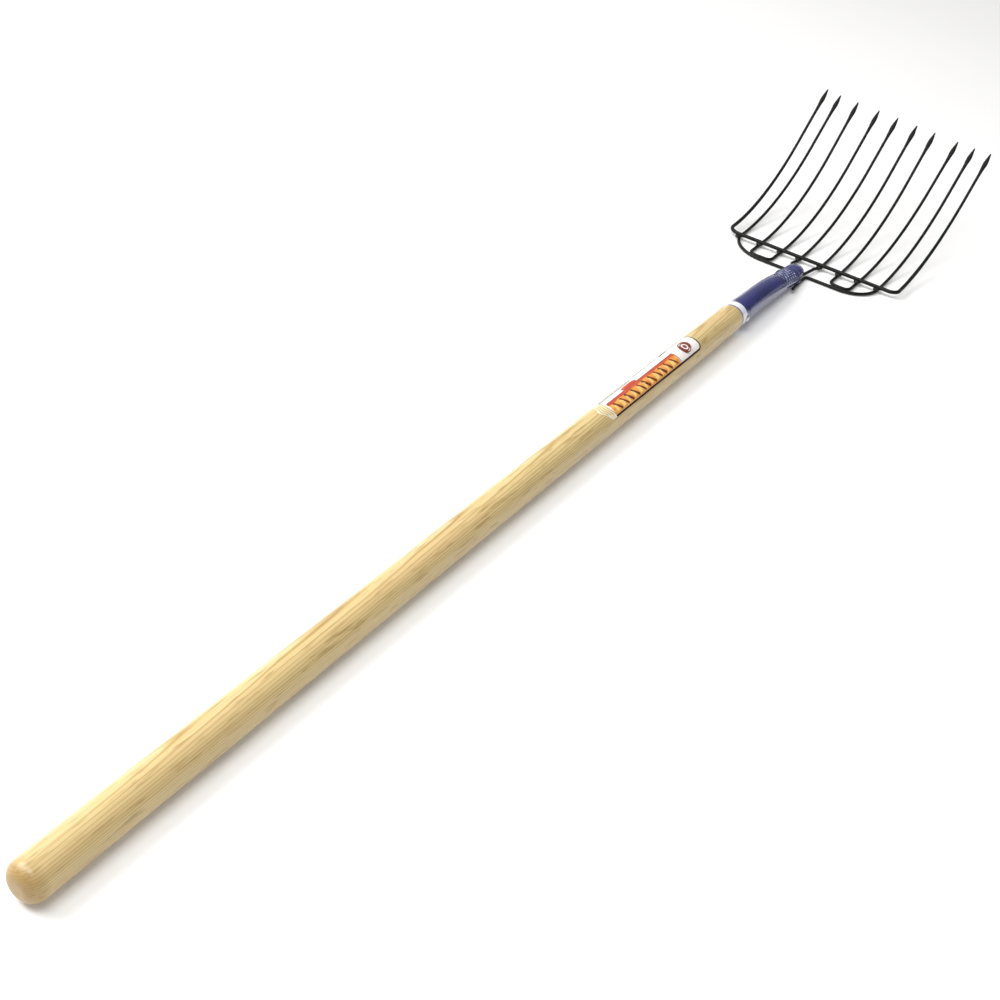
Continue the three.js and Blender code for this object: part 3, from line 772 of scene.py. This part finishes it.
def patch(name, outline, lift, thickness, material, replaced=(), rows=14):
    """A thin printed patch. outline gives rows of (x, lowest angle, highest angle)."""
    vertices, faces = [], []
    count = len(outline)
    for side in (thickness, 0.0):
        for x, low, high in outline:
            for k in range(rows + 1):
                vertices.append(on_handle(x, low + (high - low) * k / rows, lift + side))
    layer = count * (rows + 1)
    for i in range(count - 1):
        for k in range(rows):
            a = i * (rows + 1) + k
            faces.append((a, a + 1, a + rows + 2, a + rows + 1))
            faces.append((layer + a, layer + a + rows + 1, layer + a + rows + 2, layer + a + 1))
    for i in range(count - 1):
        for k in (0, rows):
            a = i * (rows + 1) + k
            quad = (a, a + rows + 1, layer + a + rows + 1, layer + a)
            faces.append(quad if k == 0 else quad[::-1])
    for i in (0, count - 1):
        for k in range(rows):
            a = i * (rows + 1) + k
            quad = (a, layer + a, layer + a + 1, a + 1)
            faces.append(quad if i == 0 else quad[::-1])
    return piece(name, vertices, faces, material, replaced, angle=40)


def spread(start, end, count):
    return [start + (end - start) * k / (count - 1) for k in range(count)]


def corner_spread(start, end):
    plain = spread(start, end - LABEL_CORNER, 60)
    return plain + [end - LABEL_CORNER * (1 - math.sin(math.pi / 2 * k / 12)) for k in range(1, 13)]


MIDDLE = LABEL_MIDDLE_ANGLE
film_xs = spread(LABEL_START_X, LABEL_START_X + LABEL_POINT, 8)[:-1] + corner_spread(
    LABEL_START_X + LABEL_POINT, LABEL_END_X)
patch("label", [
    (x, MIDDLE - label_half_width(x), MIDDLE + max(0.05, label_half_width(x))) for x in film_xs
], 0.0, FILM_THICKNESS, FILM, ("label",), rows=24)

INK_LIFT = FILM_THICKNESS + 0.01
INK_THICKNESS = 0.03
BORDER_INSET = 0.9


def ribbon(name, route, width, material, lift=INK_LIFT):
    """A printed line of the given width in millimetres along (x, angle) points."""
    vertices, faces = [], []
    flat = [Vector((x, math.radians(degrees) * HANDLE_RADIUS)) for x, degrees in route]
    for i, at in enumerate(flat):
        before, after = flat[max(0, i - 1)], flat[min(len(flat) - 1, i + 1)]
        run = (after - before).normalized()
        side = Vector((-run.y, run.x)) * (width / 2)
        for sign in (-1, 1):
            for up in (0.0, INK_THICKNESS):
                spot = at + side * sign
                vertices.append(on_handle(spot.x, math.degrees(spot.y / HANDLE_RADIUS), lift + up))
    for i in range(len(flat) - 1):
        a, b = i * 4, (i + 1) * 4
        faces += [(a + 1, a + 3, b + 3, b + 1), (a, b, b + 2, a + 2),
                  (a, a + 1, b + 1, b), (a + 2, b + 2, b + 3, a + 3)]
    end = (len(flat) - 1) * 4
    faces += [(0, 2, 3, 1), (end, end + 1, end + 3, end + 2)]
    return piece(name, vertices, faces, material)


def border(side):
    """The printed border along one edge and round the rounded end."""
    inset = math.degrees(BORDER_INSET / HANDLE_RADIUS)
    start = LABEL_START_X + LABEL_POINT + 9
    route = [
        (x, MIDDLE + side * (LABEL_HALF_ANGLE - inset)) for x in spread(start, LABEL_END_X - LABEL_CORNER, 50)
    ]
    for k in range(1, 13):
        turn = math.pi / 2 * k / 12
        x = LABEL_END_X - BORDER_INSET - LABEL_CORNER * (1 - math.sin(turn))
        route.append((x, MIDDLE + side * (label_half_width(x + BORDER_INSET) - inset)))
    for degrees in spread(route[-1][1], MIDDLE, 8)[1:]:
        route.append((LABEL_END_X - BORDER_INSET, degrees))
    return route


ribbon("label_border_right", border(1), 2.3, INK)
ribbon("label_border_left", border(-1), 1.5, INK)

# The band, the red strip and dark edge along its left side, and the slanted line that closes it.
BAND_START, BAND_END = -331, -173
BAND_LOW, BAND_HIGH = MIDDLE - 10, MIDDLE + 42
band_xs = spread(BAND_START, BAND_END, 40)
patch("label_band", [(x, BAND_LOW + 2, BAND_HIGH) for x in band_xs], INK_LIFT, INK_THICKNESS, ORANGE)
patch("label_band_red", [(x, BAND_LOW + 1, BAND_LOW + 12 + 2 * math.sin(x * 0.21)) for x in band_xs],
      INK_LIFT + 0.04, INK_THICKNESS, RED)
ribbon("label_band_edge", [(x, BAND_LOW) for x in spread(BAND_START, BAND_END, 30)], 1.2, RUST)
ribbon("label_band_close", [(BAND_END + 2 * k / 7, BAND_LOW + 50 * k / 7) for k in range(8)], 1.0, RUST)
# Slanted pale blocks and dark strokes across the band, which all lean the same way.
BAR_PITCH, BAR_LEAN = 13.4, 4.5
for index in range(11):
    x = -325 + BAR_PITCH * index
    wide = (5.0, 6.5, 4.2)[index % 3]
    patch(f"label_block_{index + 1}", [
        (x + wide * step / 4, MIDDLE + 6 + BAR_LEAN * step / 2, MIDDLE + 38 - step) for step in range(5)
    ], INK_LIFT + 0.08, INK_THICKNESS, PEACH, rows=8)
    ribbon(f"label_stroke_{index + 1}", [
        (x + wide + 1.6 + BAR_LEAN * (k - 3) / 3, MIDDLE + 3 + 34 * k / 6) for k in range(7)
    ], (3.2, 2.4, 3.8)[index % 3], RUST, INK_LIFT + 0.12)


def blob(name, x, degrees, half_x, half_y, material, lift, seed=0.0, uneven=0.0):
    """A round or oval patch, with an uneven edge where asked."""
    vertices = [on_handle(x, degrees, lift + INK_THICKNESS)]
    sides, layers = 36, 4
    for layer in range(1, layers + 1):
        share = layer / layers
        for side in range(sides):
            angle = 2 * math.pi * side / sides
            reach = share * (1 + uneven * noise.noise(Vector((math.cos(angle), math.sin(angle), seed)) * 1.2))
            vertices.append(on_handle(
                x + half_x * reach * math.cos(angle),
                degrees + math.degrees(half_y / HANDLE_RADIUS) * reach * math.sin(angle),
                lift + (INK_THICKNESS if layer < layers else 0.0),
            ))
    faces = [(0, 1 + side, 1 + (side + 1) % sides) for side in range(sides)]
    for layer in range(layers - 1):
        start = 1 + layer * sides
        for side in range(sides):
            a, b = start + side, start + (side + 1) % sides
            faces.append((a, a + sides, b + sides, b))
    return piece(name, vertices, faces, material)


# A plain target of rings near the rounded end.
TARGET_X = -145
TARGET = (("outer", 11.5, RUST, 0), ("inner", 5.0, FILM, 0.05), ("centre", 3.0, RUST, 0.09))
for part, radius, ink, rise in TARGET:
    blob(f"label_mark_{part}", TARGET_X, MIDDLE + 2, radius, radius, ink, INK_LIFT + rise)
# A broken line and a red patch to the left of the band.
DASHES = ((-333, -262, 60), (-252, -226, 52), (-214, -196, 51), (-186, -168, 55))
for index, (start, stop, angle) in enumerate(DASHES):
    ribbon(f"label_dash_{index + 1}", [(x, angle) for x in spread(start, stop, 12)], 1.4, INK)
blob("label_splash", -274, MIDDLE - 18, 17, 3.4, RED, INK_LIFT, 11.0, 0.14)
# Chevrons on a cream ground at the pointed end.
patch("label_end_cream", [
    (x, MIDDLE - label_half_width(x) + 1.5, MIDDLE + label_half_width(x) - 1.5)
    for x in spread(-350.5, -333.5, 10)
], INK_LIFT, INK_THICKNESS, CREAM)
for index, x in enumerate((-348, -344, -340, -336)):
    reach = 26 + 4 * index
    ribbon(f"label_chevron_{index + 1}", [
        (x + 4.5 * abs(k) / 6, MIDDLE + reach * k / 6) for k in range(-6, 7)
    ], 1.1, TAN, INK_LIFT + 0.06)

# ---------------------------------------------------------------------------------------------------
# Floor, light and camera.

floor_shader = Shader("studio_floor")
floor_tone = floor_shader.noise(floor_shader.coordinates((1, 1, 1)), 3.0, 2.0)
floor_colour = floor_shader.mix(floor_tone, (0.82, 0.82, 0.815), (0.85, 0.85, 0.845))
floor_shader.link(floor_colour, floor_shader.bsdf.inputs["Base Color"])
floor_shader.set(Roughness=0.9, Specular_IOR_Level=0.1, Emission_Strength=0.12)
floor_shader.bsdf.inputs["Emission Color"].default_value = (1.0, 1.0, 0.995, 1)
FLOOR_HALF, FLOOR_Z = 12, -0.0006
FLOOR_CORNERS = ((-1, -1), (1, -1), (1, 1), (-1, 1))
floor_mesh = bpy.data.meshes.new("floor")
floor_mesh.from_pydata([(FLOOR_HALF * x, FLOOR_HALF * y, FLOOR_Z) for x, y in FLOOR_CORNERS],
                       [], [(0, 1, 2, 3)])
floor_mesh.materials.append(floor_shader.material)
floor = bpy.data.objects.new("floor", floor_mesh)
bpy.context.scene.collection.objects.link(floor)

world = bpy.data.worlds.new("studio")
bpy.context.scene.world = world
world.use_nodes = True
# Soft sky: bright overhead and on the left, with a pale band along the horizon.
sky = world.node_tree
background = sky.nodes["Background"]
sky_direction = sky.nodes.new("ShaderNodeTexCoord")
split = sky.nodes.new("ShaderNodeSeparateXYZ")
sky.links.new(sky_direction.outputs["Generated"], split.inputs["Vector"])
strength = None
# An axis, the span of heights or sideways directions along it, and the brightness at each end of the span.
SKY_PARTS = (("Z", (0.1, 0.9, 0.10, 0.42)), ("Y", (-0.1, 0.9, 0.0, 0.42)), ("Z", (0.02, 0.14, 0.5, 0.0)))
for axis, numbers in SKY_PARTS:
    part = sky.nodes.new("ShaderNodeMapRange")
    for key, number in zip(("From Min", "From Max", "To Min", "To Max"), numbers):
        part.inputs[key].default_value = number
    sky.links.new(split.outputs[axis], part.inputs["Value"])
    if strength is None:
        strength = part.outputs["Result"]
    else:
        total = sky.nodes.new("ShaderNodeMath")
        total.operation = "ADD"
        sky.links.new(strength, total.inputs[0])
        sky.links.new(part.outputs["Result"], total.inputs[1])
        strength = total.outputs["Value"]
sky.links.new(strength, background.inputs["Strength"])
background.inputs["Color"].default_value = (1.0, 1.0, 1.0, 1)


def area_light(name, at, target, width, height, power, colour=(1, 1, 1)):
    data = bpy.data.lights.new(name, "AREA")
    data.shape = "RECTANGLE"
    data.size, data.size_y = width, height
    data.energy = power
    data.color = colour
    made = bpy.data.objects.new(name, data)
    made.location = at
    made.rotation_euler = (Vector(target) - Vector(at)).to_track_quat("-Z", "Y").to_euler()
    bpy.context.scene.collection.objects.link(made)


area_light("key", (-1.0, 2.4, 2.6), (0.0, 0, 0), 2.6, 2.0, 122, (1.0, 0.985, 0.96))
area_light("top", (-1.3, 0.0, 3.2), (0.0, 0, 0), 2.0, 1.6, 64)

# The camera looks along the handle from behind and to the right of the butt, and is rolled a little.
camera_data = bpy.data.cameras.new("camera")
camera_data.sensor_width = 36
camera_data.lens = 50.4
camera_data.clip_start = 0.05
camera_data.clip_end = 60
camera = bpy.data.objects.new("camera", camera_data)
LOOK_AZIMUTH, LOOK_ELEVATION, ROLL = math.radians(27.914), math.radians(-36.022), math.radians(-9.367)
forward = Vector((
    math.cos(LOOK_ELEVATION) * math.cos(LOOK_AZIMUTH),
    math.cos(LOOK_ELEVATION) * math.sin(LOOK_AZIMUTH),
    math.sin(LOOK_ELEVATION),
))
level_right = forward.cross(Vector((0, 0, 1))).normalized()
level_up = level_right.cross(forward)
camera_up = level_up * math.cos(ROLL) + level_right * math.sin(ROLL)
camera_right = forward.cross(camera_up).normalized()
turn = Matrix((direction(*camera_right), direction(*camera_up), -direction(*forward))).transposed()
CAMERA_AT = place(-1553.4, -534.35, 833.73)
camera.matrix_world = Matrix.Translation(CAMERA_AT) @ turn.to_4x4()
bpy.context.scene.collection.objects.link(camera)
bpy.context.scene.camera = camera

bpy.context.scene.view_settings.view_transform = "Standard"
